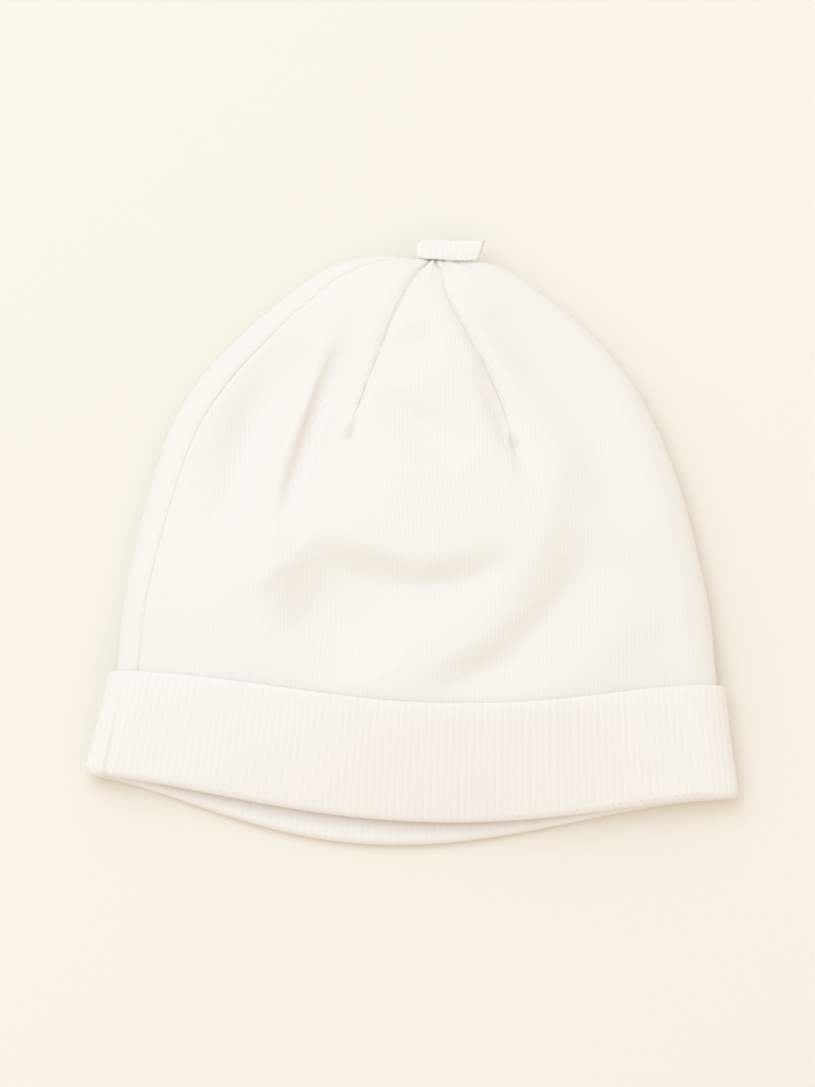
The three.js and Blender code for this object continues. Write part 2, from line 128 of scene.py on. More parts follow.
# Where that relief lies along the cap, from a dart's end and as shares of the cap's length.
DART_FROM, DART_FULL = -0.015, 0.05
PULL_MIDDLE, PULL_HALF = 0.16, 0.07
DIMPLE_BELOW = 0.01
SEAM_FADE = 0.04
CALM_FADE = 0.03
GATHERS_FROM, GATHERS_FULL = 0.9, 0.99

# Fine relief of the cuff and of the tab.
CUFF_RIB_HEIGHT = 0.00005
CUFF_SEAM_DIP, CUFF_SEAM_HALF = 0.0008, 0.0007
CUFF_SEAM_FROM, CUFF_SEAM_TO = 0.10, 0.17  # where it fades, as shares of the cap's length
WAY_MEASURED = 0.1  # where the way round the cuff is measured, as a share of the cap's length
SIDE_STEP = 0.45  # how far a unit round reaches at the cuff's seam, as a share of half the body's width
RIB_LEVEL = 0.8  # the share of a rib's height that lies below the plain surface
RIB_PHASES = (0.0, 0.14, 0.32, 0.5, 0.68, 0.86)
TAB_RIB_HEIGHT = 0.00006
TAB_ROUNDED = 0.45  # how much thinner the tab is at its front edge
TAB_DROOP = 0.0004
TAB_WAVE, TAB_WAVE_PHASE = 0.0002, 7.0
TAB_CROWDING = 0.09  # how much closer together its rings are at its two ends
LOWER_PLY_END, UPPER_PLY_END = -0.0003, -0.0008
ROOT_LENGTH = 0.011
ROOT_WIDENED = 0.85
ROOT_SNUG = 1.05
ROOT_CAUGHT, ROOT_FREE = 0.45, 0.68
PLEAT_HEIGHT, PLEATS = 0.00012, 9

# The body's sections from the hem to the gathered top: each one's place along the cap; where its two
# sides lie, across as shares of half the body's width and up as shares of the cap's length; how far
# the front's middle is raised and the back's drops, the power of the bow between the sides and its
# skew on each face; lift, which is 1 where the cuff's leaf lies under the body; and the heights of
# the underside, the outermost edge, the rim and the crest, as shares of the loft.
SECTION_NAMES = (
    "along", "left", "left_up", "right", "right_up", "raise", "drop", "bow", "front_skew", "back_skew",
    "lift", "under", "edge", "rim", "crest",
)
SECTIONS = np.array([
    (0.00, -1.000, 0.092, 1.000, 0.052, 0.012, 0.026, 1.7, 0.10, -0.35, 1, 0.00, 0.240, 0.305, 0.31),
    (0.10, -0.965, 0.170, 0.980, 0.139, 0.006, 0.019, 1.9, 0.25, -0.30, 1, 0.00, 0.260, 0.400, 0.55),
    (0.20, -0.931, 0.260, 0.963, 0.236, 0.001, 0.016, 2.0, 0.40, -0.20, 1, 0.00, 0.275, 0.460, 0.77),
    (0.30, -0.914, 0.372, 0.945, 0.368, 0.000, 0.012, 1.6, 0.20, 0.00, 0, 0.00, 0.255, 0.475, 0.94),
    (0.40, -0.880, 0.482, 0.907, 0.478, 0.000, 0.008, 1.2, 0.00, 0.00, 0, 0.00, 0.245, 0.465, 0.96),
    (0.50, -0.833, 0.593, 0.858, 0.589, 0.000, 0.005, 1.0, 0.00, 0.00, 0, 0.00, 0.245, 0.460, 0.93),
    (0.60, -0.774, 0.696, 0.786, 0.696, 0.000, 0.000, 1.0, 0.00, 0.00, 0, 0.00, 0.245, 0.450, 0.88),
    (0.70, -0.669, 0.793, 0.692, 0.793, 0.000, 0.000, 1.0, 0.00, 0.00, 0, 0.00, 0.245, 0.440, 0.82),
    (0.80, -0.527, 0.878, 0.559, 0.878, 0.000, 0.000, 1.0, 0.00, 0.00, 0, 0.00, 0.250, 0.430, 0.75),
    (0.88, -0.392, 0.941, 0.424, 0.941, 0.000, 0.000, 1.0, 0.00, 0.00, 0, 0.00, 0.260, 0.420, 0.67),
    (0.94, -0.259, 0.991, 0.311, 0.985, 0.000, 0.000, 1.0, 0.00, 0.00, 0, 0.02, 0.270, 0.410, 0.58),
    (0.98, -0.101, 1.013, 0.202, 1.003, 0.000, 0.000, 1.0, 0.00, 0.00, 0, 0.08, 0.280, 0.410, 0.48),
    (1.00, 0.022, 1.003, 0.107, 0.998, 0.000, 0.000, 1.0, 0.00, 0.00, 0, 0.15, 0.290, 0.430, 0.43),
])

# Folds of the front panel in plan: from one end, bending towards a point, to the other end, as
# shares of half the body's width and of the cap's length; half widths on the left and on the right,
# walking along it, as shares of half the body's width; and height as a share of the loft.
FOLDS = {
    "left crease": (-0.17, 0.90, -0.27, 0.71, -0.43, 0.48, 0.100, 0.045, -0.190),
    "smiling valley": (-0.35, 0.45, 0.04, 0.335, 0.40, 0.46, 0.065, 0.150, -0.220),
    "lower left valley": (-0.42, 0.43, -0.29, 0.35, -0.10, 0.24, 0.120, 0.120, -0.190),
    "lower right valley": (0.58, 0.50, 0.45, 0.27, -0.03, 0.18, 0.130, 0.070, -0.190),
    "right outer valley": (0.25, 0.91, 0.61, 0.78, 0.65, 0.48, 0.090, 0.090, -0.110),
    "left outer valley": (-0.34, 0.86, -0.64, 0.68, -0.54, 0.42, 0.100, 0.100, -0.150),
    "hooked ridge": (0.45, 0.69, 0.50, 0.38, -0.06, 0.30, 0.060, 0.060, 0.050),
    "thin left ridge": (-0.34, 0.76, -0.46, 0.60, -0.43, 0.42, 0.040, 0.040, 0.040),
}

# Softer and smaller folds, shallower than the solids follow.
SOFT_FOLDS = {
    "dip below the tab": (-0.12, 0.835, 0.0, 0.825, 0.10, 0.845, 0.045, 0.060, -0.080),
    "band across the middle gore": (-0.13, 0.735, 0.06, 0.70, 0.20, 0.63, 0.050, 0.090, -0.110),
    "shade beside the right dart": (0.20, 0.80, 0.30, 0.70, 0.37, 0.58, 0.080, 0.035, -0.100),
    "pinch below the right dart": (0.30, 0.70, 0.33, 0.64, 0.31, 0.57, 0.020, 0.020, 0.020),
    "sharp wall of the left crease": (-0.24, 0.83, -0.30, 0.72, -0.41, 0.52, 0.045, 0.018, -0.080),
    "end of the left crease": (-0.56, 0.47, -0.45, 0.42, -0.34, 0.35, 0.100, 0.150, 0.070),
    "hollow under the smile": (-0.28, 0.45, -0.20, 0.27, 0.06, 0.19, 0.170, 0.150, -0.120),
    "left end of the smile": (-0.44, 0.470, -0.25, 0.452, 0.02, 0.415, 0.060, 0.120, -0.075),
    "left shoulder's hollow": (-0.32, 0.84, -0.56, 0.70, -0.54, 0.52, 0.110, 0.070, -0.140),
    "right shoulder's hollow": (0.20, 0.93, 0.42, 0.84, 0.50, 0.62, 0.090, 0.080, -0.060),
}

# The tab from its left end to its right one: shares of its length, of its width, of its two plies
# and of its slant.
TAB_ROWS = np.array([
    (0.00, 0.50, 0.55, 0.0),
    (0.04, 0.76, 0.85, 0.0),
    (0.12, 0.94, 1.00, 0.0),
    (0.35, 1.00, 1.00, 0.1),
    (0.65, 0.97, 1.00, 0.4),
    (0.90, 1.00, 0.95, 0.9),
    (1.00, 0.98, 0.80, 1.0),
])

# The tab's gathered root: places along it, and shares of how far the tab lies out from the dome's
# top and above it.
ROOT_ROWS = np.array([
    (0.00, -1.74, 0.00),
    (0.42, 0.00, 0.00),
    (0.57, 0.62, 0.04),
    (0.66, 0.90, 0.20),
    (0.80, 1.00, 0.50),
    (1.00, 1.00, 0.90),
])

# The cap's body as a surface


def curve(knots, values, at):
    """A curve through a table's column: cubic pieces through the rows, each row's slope being the
    harmonic mean of the secants on its two sides, so the curve never overshoots."""
    secants = np.diff(values) / np.diff(knots)
    before, after = secants[:-1], secants[1:]
    total = before + after
    inner = np.where(before * after > 0, 2 * before * after / np.where(total == 0, 1, total), 0)
    slopes = np.concatenate([secants[:1], inner, secants[-1:]])
    i = np.clip(np.searchsorted(knots, at) - 1, 0, len(knots) - 2)
    span = knots[i + 1] - knots[i]
    t = (at - knots[i]) / span
    rise = t * t * (3 - 2 * t)
    lean = span * t * (1 - t)
    between = values[i] * (1 - rise) + values[i + 1] * rise
    return between + lean * ((1 - t) * slopes[i] - t * slopes[i + 1])


def section(name, along):
    """A column of SECTIONS at any share of the length."""
    return curve(SECTIONS[:, 0], SECTIONS[:, SECTION_NAMES.index(name)], along)


def smooth_step(low, high, value):
    """0 below low, 1 above high, and a smooth rise of 3t^2 - 2t^3 between them."""
    t = np.clip((value - low) / (high - low), 0, 1)
    return t * t * (3 - 2 * t)


def bell(offset, half):
    """A bell of height 1: e to the minus square of offset over half width."""
    return np.exp(-np.square(offset / half))


def fold_height(x, y, folds):
    """The sum over the folds of a bell across each one, its offset measured to a bent line, which
    is followed in 24 short straight pieces, and each hand of the line with its own width. A fold
    fades towards its two ends as the parabola 4t(1 - t) of the share t along it."""
    t = np.linspace(0, 1, 25)
    height = np.zeros_like(x)
    for from_x, from_y, by_x, by_y, to_x, to_y, left_half, right_half, rise in folds.values():
        line_x = ((1 - t) ** 2 * from_x + 2 * t * (1 - t) * by_x + t * t * to_x) * BODY_HALF
        line_y = ((1 - t) ** 2 * from_y + 2 * t * (1 - t) * by_y + t * t * to_y) * CAP_LENGTH
        nearest = np.full_like(x, np.inf)
        share = np.zeros_like(x)
        on_left = np.zeros(x.shape, dtype=bool)
        for i in range(len(t) - 1):
            dx, dy = line_x[i + 1] - line_x[i], line_y[i + 1] - line_y[i]
            s = np.clip(((x - line_x[i]) * dx + (y - line_y[i]) * dy) / (dx * dx + dy * dy), 0, 1)
            distance = (x - line_x[i] - s * dx) ** 2 + (y - line_y[i] - s * dy) ** 2
            closer = distance < nearest
            nearest = np.where(closer, distance, nearest)
            share = np.where(closer, (i + s) / (len(t) - 1), share)
            on_left = np.where(closer, dx * (y - line_y[i]) > dy * (x - line_x[i]), on_left)
        half = np.where(on_left, left_half, right_half) * BODY_HALF
        height += rise * LOFT * 4 * share * (1 - share) * np.exp(-nearest / half**2)
    return height


def turned(around, along):
    """How far the cloth at a place has turned round the cap: with the left seam, by the square of
    the share along and a hat of the distance round from the seam, and with the front darts,
    towards where they meet."""
    from_seam = np.abs((around - LEFT_SEAM + ROUND / 2 + ROUND) % ROUND - ROUND / 2)
    with_seam = LEFT_SEAM_TURN * along * along * np.maximum(0, 1 - from_seam / LEFT_SEAM_REACH)
    from_darts = (around - DARTS_MEET + ROUND / 2 + ROUND) % ROUND - ROUND / 2
    near = np.maximum(0, 1 - (from_darts / DARTS_REACH) ** 2) ** 2
    drawn = DARTS_DRAWN * np.clip((along - DRAWN_FROM) / (DRAWN_FULLY - DRAWN_FROM), 0, 1) ** 2
    return with_seam - drawn * near * from_darts


def body_point(around, along):
    """The body's outer surface, as an array of points. Across a section, x runs between the two
    sides as the sine of the place round it, y sags from the sides to the middle, and z rolls up
    from the side's outermost line as a quarter circle and on to the crest as a soft dome with
    the folds on it."""
    place = (around + turned(around, along) + ROUND) % ROUND
    front = place <= 2
    across = np.sin(math.pi / 2 * np.where(front, place - 1, 3 - place))
    left, right = section("left", along) * BODY_HALF, section("right", along) * BODY_HALF
    left_up = section("left_up", along) * CAP_LENGTH
    right_up = section("right_up", along) * CAP_LENGTH
    half_width = (right - left) / 2
    x = (left + right) / 2 + across * half_width
    middle = (along + np.where(front, section("raise", along), -section("drop", along))) * CAP_LENGTH
    sides = (left_up + right_up) / 2
    arch = np.maximum(0, 1 - across * across)
    skew = 1 + across * np.where(front, section("front_skew", along), section("back_skew", along))
    sag = (sides - middle) * arch ** section("bow", along) * skew
    y = sides + across * (right_up - left_up) / 2 - sag
    edge = section("edge", along) * LOFT
    roll_share = np.minimum(1, EDGE_ROLL / half_width)
    outward = np.clip((np.abs(across) - 1 + roll_share) / roll_share, 0, 1)
    rolled = np.sqrt(1 - outward * outward)
    under = section("under", along) * LOFT + section("lift", along) * LEAF_OUT
    rim, crest = section("rim", along) * LOFT, section("crest", along) * LOFT
    folds = fold_height(x, y, FOLDS) * rolled * smooth_step(FOLDS_BEGIN, FOLDS_FULL, along)
    above = edge + (rim - edge) * rolled + (crest - rim) * arch**1.5 + folds
    below = edge - (edge - under) * rolled
    return np.stack([x, y, np.where(front, above, below)], axis=-1)


def unit(vectors):
    """Each vector divided by its length."""
    return vectors / np.maximum(np.linalg.norm(vectors, axis=-1, keepdims=True), 1e-12)


def off_body(around, along, out, up):
    """Points at a distance out from the body's surface and further up it, from its slopes by small
    differences."""
    here = body_point(around, along)
    higher, lower = np.minimum(1, along + STEP), np.maximum(0, along - STEP)
    upward = unit(body_point(around, higher) - body_point(around, lower))
    turning = unit(body_point(around + STEP, along) - body_point(around - STEP, along))
    outward = unit(np.cross(turning, upward))
    return here + outward * out[..., None] + upward * up[..., None]


# The frame's origin is the middle of the cap's outline on the floor: the hem's corners and the back
# hem settle it.
low, high = (np.array(v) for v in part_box("cuff"))
hem_round, hem_along = np.meshgrid(
    np.linspace(0, ROUND, 400), np.linspace(0, CUFF_HEIGHT / CAP_LENGTH, 20)
)
hem = off_body(hem_round, hem_along, np.full_like(hem_round, LEAF_OUT), np.zeros_like(hem_round))
hem_bend = off_body(
    hem_round[:1], hem_along[:1],
    np.full_like(hem_round[:1], PIECE_GAP / 2), np.full_like(hem_round[:1], -PIECE_GAP / 2 - CUFF_WALL),
)
SHIFT = np.array([
    (low[0] + high[0]) / 2 - (hem[..., 0].min() + hem[..., 0].max()) / 2,
    low[1] - hem_bend[..., 1].min(),
    0.0,
])

# Meshes


def new_piece(name, points, quads, triangles, cloth):
    """A mesh object from whole arrays: points, quads and triangles, with a cloth map in
    millimetres. Cloth that would reach below the floor lies flat on it."""
    points = points + SHIFT
    points[:, 2] = np.maximum(points[:, 2], CONTACT)
    mesh = bpy.data.meshes.new(name)
    corners = np.concatenate([quads.ravel(), triangles.ravel()]).astype(np.int32)
    sizes = np.concatenate([np.full(len(quads), 4), np.full(len(triangles), 3)]).astype(np.int32)
    mesh.vertices.add(len(points))
    mesh.vertices.foreach_set("co", points.astype(np.float32).ravel())
    mesh.loops.add(len(corners))
    mesh.loops.foreach_set("vertex_index", corners)
    mesh.polygons.add(len(sizes))
    mesh.polygons.foreach_set("loop_start", (np.cumsum(sizes) - sizes).astype(np.int32))
    mesh.polygons.foreach_set("use_smooth", np.ones(len(sizes), dtype=bool))
    layer = mesh.uv_layers.new(name="cloth")
    layer.data.foreach_set("uv", (cloth[corners] / MM).astype(np.float32).ravel())
    mesh.update(calc_edges=True)
    mesh.validate()
    piece = bpy.data.objects.new(name, mesh)
    bpy.context.scene.collection.objects.link(piece)
    return piece


def grid_quads(rows, columns, first=0, closed_rows=False, closed_columns=False):
    """The quads of a grid whose points are numbered row by row from first."""
    i, j = np.meshgrid(
        np.arange(rows if closed_rows else rows - 1),
        np.arange(columns if closed_columns else columns - 1),
        indexing="ij",
    )
    next_i, next_j = (i + 1) % rows, (j + 1) % columns
    row, next_row = i * columns, next_i * columns
    quads = np.stack([row + j, row + next_j, next_row + next_j, next_row + j], axis=-1)
    return quads.reshape(-1, 4) + first


def walled_piece(name, outer, inner, every, cloth):
    """A cloth panel as one closed wall: the outer grid, an inner grid on every so-many of its rows,
    and strips that join their four edges, fanned where the outer edge has more points."""
    rows, columns = outer.shape[:2]
    inner_rows = inner.shape[0]
    start = rows * columns
    face = grid_quads(rows, columns)
    back = grid_quads(inner_rows, columns, start)[:, ::-1]
    j = np.arange(columns - 1)
    top_outer, top_inner = (rows - 1) * columns, start + (inner_rows - 1) * columns
    bottom = np.stack([j, start + j, start + j + 1, j + 1], axis=-1)
    top = np.stack([top_outer + j, top_outer + j + 1, top_inner + j + 1, top_inner + j], axis=-1)
    i = np.arange(rows - 1)
    g = np.arange(inner_rows - 1)
    strips = []
    for column, turn in ((0, 1), (columns - 1, -1)):
        outer_edge, inner_edge = column, start + column
        fans = np.stack([
            outer_edge + i * columns, outer_edge + (i + 1) * columns, inner_edge + (i // every) * columns,
        ], axis=-1)
        ends = np.stack([
            outer_edge + (g + 1) * every * columns, inner_edge + (g + 1) * columns, inner_edge + g * columns,
        ], axis=-1)
        strips += [fans[:, ::turn], ends[:, ::turn]]
    points = np.concatenate([outer.reshape(-1, 3), inner.reshape(-1, 3)])
    cloth_all = np.concatenate([cloth.reshape(-1, 2), cloth[::every].reshape(-1, 2)])
    quads = np.concatenate([face, back, bottom, top])
    return new_piece(name, points, quads, np.concatenate(strips), cloth_all)


def crowded(marks, counts, crowding=0.7):
    """Places from mark to mark, crowded next to the marks: each span's even share s becomes
    s - crowding sin(2 pi s) / (2 pi)."""
    places = [np.array(marks[:1])]
    for a, b, count in zip(marks, marks[1:], counts):
        s = np.arange(1, count + 1) / count
        places.append(a + (b - a) * (s - crowding * np.sin(2 * math.pi * s) / (2 * math.pi)))
    return np.concatenate(places)


def surface_normals(points):
    """Unit normals of a grid: the cross product of its slopes along the rows and down the columns."""
    return unit(np.cross(np.gradient(points, axis=1), np.gradient(points, axis=0)))


def puckered(height, depth, wave, sway, sway_wave):
    """A stitched edge's unevenness up the cap: 1 + depth sin(height / wave + sway sin(height /
    sway_wave))."""
    return 1 + depth * np.sin(height / wave + sway * np.sin(height / sway_wave))


def knit_panel(name, marks, counts, darts, soft_folds):
    """One panel of the dome. The body's surface gives the base grid. Arc lengths along each row
    place the sewing lines. Every dart is a fine cut in a wider furrow, which is deepest a little
    above the dart's end, between two soft lips and with a dimple at the end. The two side seams
    dip like half of one. Wales run straight up each gore and are cut off at the darts. The soft
    folds move both faces, and the fine relief moves the inner one a little less."""
    across = crowded([marks[0], *[dart[0] for dart in darts], marks[1]], counts)
    along = np.linspace((BAND_SEAM + PIECE_GAP) / CAP_LENGTH, 1, PANEL_ROWS)
    around_grid, along_grid = np.meshgrid(across, along)
    base = body_point(around_grid, along_grid)
    steps = np.linalg.norm(np.diff(base, axis=1), axis=-1)
    arc = np.concatenate([np.zeros((PANEL_ROWS, 1)), np.cumsum(steps, axis=1)], axis=1)
    width = arc[:, -1:]
    dart_columns = np.cumsum(counts)[:-1]
    height = along_grid * CAP_LENGTH

    # Wales: measured from the panel's middle below the darts, and from each gore's middle beside
    # them.
    split = int(np.searchsorted(along, np.mean([dart[1] for dart in darts])))
    panel_middle = width / 2
    wale = arc - panel_middle
    edges = [0, *dart_columns, len(across) - 1]
    for a, b in zip(edges, edges[1:]):
        own = slice(a, b + 1 if b == edges[-1] else b)
        gore_middle = (arc[:, a] + arc[:, b]) / 2
        settled = gore_middle[split] - panel_middle[split, 0]
        wale[split:, own] = arc[split:, own] - gore_middle[split:, None] + settled
    cloth = np.stack([wale, height], axis=-1)

    relief = np.zeros_like(arc)
    spread = np.minimum(1, width / NARROW_PANEL)
    for column, (_, end, pull) in zip(dart_columns, darts):
        offset = arc - arc[:, column : column + 1]
        taken = smooth_step(end + DART_FROM, end + DART_FULL, along_grid)
        pulled = 1 + pull * bell(along_grid - end - PULL_MIDDLE, PULL_HALF)
        beside = np.abs(offset) - DART_LIP_OUT * spread
        from_end = (along_grid - end + DIMPLE_BELOW) * CAP_LENGTH / DIMPLE_LONG
        relief -= DART_CUT * taken * bell(offset, DART_CUT_HALF * spread)
        relief -= DART_FURROW * taken * pulled * bell(offset, DART_FURROW_HALF * spread)
        lip = taken * puckered(height, *DART_PUCKER) * bell(beside, DART_LIP_HALF * spread)
        relief += DART_LIP * lip
        relief -= DIMPLE * bell(np.hypot(offset, from_end), DIMPLE_HALF)
    cuff_top = CUFF_HEIGHT / CAP_LENGTH
    open_cloth = smooth_step(cuff_top, cuff_top + SEAM_FADE, along_grid)
    for offset in (arc, width - arc):
        relief -= SEAM_CUT * bell(offset, SEAM_CUT_HALF)
        relief -= SEAM_DIP * bell(offset, SEAM_DIP_HALF) * open_cloth
        lip = puckered(height, *SEAM_PUCKER) * bell(offset - SEAM_LIP_IN, SEAM_LIP_HALF)
        relief += SEAM_LIP * lip * open_cloth
    # The gathers at the top, and a slight unevenness of the open cloth.
    gathers = smooth_step(GATHERS_FROM, GATHERS_FULL, along_grid)
    round_share = arc / np.maximum(width, 1e-6)
    relief += GATHER_HEIGHT * gathers * np.cos(2 * math.pi * round_share * GATHERS)
    calm = smooth_step(FOLDS_BEGIN, FOLDS_FULL + CALM_FADE, along_grid) * (1 - gathers)
    x, y = base[..., 0], base[..., 1]
    uneven = np.sin(x / 0.0093 + 1.7 * np.sin(y / 0.017)) * np.sin(y / 0.0121 + 1.1 * np.sin(x / 0.021))
    relief += UNEVEN_HEIGHT * calm * uneven
    folded = fold_height(x, y, soft_folds) * calm

    normals = surface_normals(base)
    outer = base + normals * (folded + relief)[..., None]
    inner = (base + normals * (folded + INNER_SHARE * relief - CROWN_WALL)[..., None])[::INNER_EVERY]
    gap = PIECE_GAP / 2 - SEAM_CLOSED
    for grid in (outer, inner):
        grid[:, 0] += unit(grid[:, 1] - grid[:, 0]) * gap
        grid[:, -1] += unit(grid[:, -2] - grid[:, -1]) * gap
    return walled_piece(name, outer, inner, INNER_EVERY, cloth)


def cuff_profile():
    """The cuff's section round a hairpin, as rows of (along, out, up, rib): up the outer leaf, over
    its free edge, down its inside, round the hem's inner bend, up the inner leaf, over its sewn
    edge and down to the hem's outer bend. rib is the share of the rib's height that shows there,
    outwards where it is above 0."""
    top, sewn = CUFF_HEIGHT / CAP_LENGTH, BAND_SEAM / CAP_LENGTH
    quarter = math.pi / 2
    rows = []

    def leaf(start, stop, out, rib, count):
        for t in np.linspace(0, 1, count):
            rows.append((start + (stop - start) * t, out, 0.0, rib))

    def bend(middle, radius, start, stop, count, along, rib, sign=-1):
        for angle in np.linspace(start, stop, count + 2)[1:-1]:
            rows.append((along, middle + radius * math.sin(angle), sign * radius * math.cos(angle), rib))

    leaf(0, top, LEAF_OUT, 1.0, 13)
    bend(PIECE_GAP + CUFF_WALL / 2, CUFF_WALL / 2, quarter, -quarter, 5, top, 0.8, 1)
    leaf(top, 0, PIECE_GAP, 0.0, 6)
    bend(PIECE_GAP / 2, PIECE_GAP / 2, quarter, -quarter, 3, 0, 0.0)
    leaf(0, sewn, 0.0, 0.0, 4)
    leaf(sewn, 0, -CUFF_WALL, 1.0, 9)
    bend(PIECE_GAP / 2, PIECE_GAP / 2 + CUFF_WALL, -quarter, quarter, 9, 0, 1.0)
    return np.array(rows)


def cuff_band():
    """The cuff: its section carried round the hem, with a rib in every pitch of the way round. A
    rib's height is the square root of the absolute sine of its phase, so ribs are round and the
    furrows between them narrow, and it grows and falls a little from rib to rib. The cuff's own
    seam is a dip in the outer leaf near the left side."""
    turns = np.linspace(0, ROUND, 4001)
    measured = np.full_like(turns, WAY_MEASURED)
    line = off_body(turns, measured, np.full_like(turns, LEAF_OUT), np.zeros_like(turns))
    way = np.concatenate([[0], np.cumsum(np.linalg.norm(np.diff(line, axis=0), axis=-1))])
    ribs = int(round(way[-1] / CUFF_RIB))
    rib_phase = (np.arange(ribs)[:, None] + np.array(RIB_PHASES)).ravel()
    around = np.interp(rib_phase / ribs * way[-1], way, turns)
    profile = cuff_profile()
    rows, columns = len(profile), len(around)
    along, out, up, rib = (np.repeat(profile[:, k : k + 1], columns, axis=1) for k in range(4))
    around_grid = np.repeat(around[None, :], rows, axis=0)
    plain = off_body(around_grid, along, out, up)
    following = off_body(around_grid + STEP, along, out, up)
    down = unit(np.roll(plain, -1, axis=0) - np.roll(plain, 1, axis=0))
    normals = unit(np.cross(unit(following - plain), down))
    height = np.sqrt(np.abs(np.sin(math.pi * rib_phase)))[None, :] - RIB_LEVEL
    calm_ribs = 0.65 + 0.35 * np.sin(rib_phase / 7.3 + 2.0 * np.sin(rib_phase / 19.0))[None, :]
    seam_off = (around_grid - CUFF_SEAM) * BODY_HALF * SIDE_STEP
    seam_shows = (1 - smooth_step(CUFF_SEAM_FROM, CUFF_SEAM_TO, along)) * (out > PIECE_GAP)
    seam = bell(seam_off, CUFF_SEAM_HALF) * seam_shows
    relief = CUFF_RIB_HEIGHT * rib * height * calm_ribs - CUFF_SEAM_DIP * seam
    points = plain + normals * relief[..., None]
    u = np.repeat((rib_phase * CUFF_RIB)[None, :], rows, axis=0)
    lengths = np.linalg.norm(np.diff(plain[:, :1], axis=0), axis=-1)
    v = np.repeat(np.concatenate([[0], np.cumsum(lengths)])[:, None], columns, axis=1)
    cloth = np.stack([u, v], axis=-1)
    quads = grid_quads(rows, columns, closed_rows=True, closed_columns=True)
    no_triangles = np.zeros((0, 3), int)
    return new_piece("cuff_knit", points.reshape(-1, 3), quads, no_triangles, cloth.reshape(-1, 2))


def strip_section(half, ply, edge_steps=7, flat_steps=10):
    """Rings of a strip folded double, as arrays of places across it and heights above its middle.
    Both edges of a ply are half circles as high as the ply, so a notch runs between the two
    plies along both sides, and its flat is crowned by a twelfth of the ply. The lower ply is the
    upper one turned half round."""
    radius = ply / 2
    turn = np.linspace(-math.pi / 2, -3 * math.pi / 2, edge_steps)[None, :]
    share = np.linspace(-1, 1, flat_steps + 2)[None, 1:-1]
    left_across = -(half - radius) + radius * np.cos(turn)
    left_rise = radius + radius * np.sin(turn)
    flat_across = (half - radius) * share
    flat_rise = 2 * radius * (1 + (1 - share * share) / 12)
    right_across = (-left_across)[:, ::-1][:, :-1]
    right_rise = left_rise[:, ::-1][:, :-1]
    across = np.concatenate([left_across, flat_across, right_across], axis=1)
    rise = np.concatenate([left_rise, flat_rise, right_rise], axis=1)
    return np.concatenate([across, -across], axis=1), np.concatenate([rise, -rise], axis=1)


def ring_normals(rings):
    """Unit normals of closed rings: the cross product of the way round a ring and the way from ring
    to ring."""
    way_round = np.roll(rings, -1, axis=1) - np.roll(rings, 1, axis=1)
    return unit(np.cross(way_round, np.gradient(rings, axis=0)))


def closed_rings(name, rings, cloth):
    """A closed piece from rings in order, whose two end rings are closed by strips from their first
    half to their second."""
    count, size = rings.shape[:2]
    k = np.arange(size // 2 - 1)
    opposite, beside = size - 1 - k, size - 2 - k
    end = (count - 1) * size
    first = np.stack([k, opposite, beside, k + 1], axis=-1)
    last = np.stack([end + k, end + k + 1, end + beside, end + opposite], axis=-1)
    quads = np.concatenate([grid_quads(count, size, closed_columns=True), first, last])
    no_triangles = np.zeros((0, 3), int)
    return new_piece(name, rings.reshape(-1, 3), quads, no_triangles, cloth.reshape(-1, 2))


def tab_strip(top):
    """The tab's folded strip, pressed down and lying to the right, thinner at its front edge. Its
    ribs run across it: each is the square root of the absolute sine of its phase high. The lower
    ply ends a little further right than the upper one."""
    s = np.linspace(0, 1, 81)
    share = s - TAB_CROWDING * np.sin(2 * math.pi * s)
    wide, thick, slant = (curve(TAB_ROWS[:, 0], TAB_ROWS[:, k], share) for k in (1, 2, 3))
    across, rise = strip_section((wide * PRESSED_WIDTH / 2)[:, None], (thick * PRESSED_PLY)[:, None])
    rise = rise * (1 - TAB_ROUNDED * smooth_step(0.1, 1.0, across / (TAB_WIDTH / 2)))
    uneven_end = np.where(rise < 0, LOWER_PLY_END, UPPER_PLY_END) * share[:, None] ** 6
    slanted = across * (slant * TAB_SLANT)[:, None]
    droop = PRESSED_DOWN + TAB_DROOP * share[:, None] ** 2
    rings = np.stack([
        top[0] + (share * TAB_LENGTH - TAB_LEFT)[:, None] - slanted + uneven_end,
        top[1] + TAB_OUT - across + TAB_WAVE * np.sin(share[:, None] * TAB_WAVE_PHASE),
        top[2] + TAB_RISE + rise - droop,
    ], axis=-1)
    way = share[:, None] * TAB_LENGTH + np.zeros_like(across)
    ribs = np.sqrt(np.abs(np.sin(math.pi * way / CUFF_RIB))) - RIB_LEVEL
    ribs *= smooth_step(0, 0.08, share)[:, None] * (1 - smooth_step(0.94, 1, share))[:, None]
    rings = rings + ring_normals(rings) * (TAB_RIB_HEIGHT * ribs)[..., None]
    cloth = np.stack([way, across + TAB_WIDTH], axis=-1)
    return closed_rings("top_tab_knit", rings, cloth)


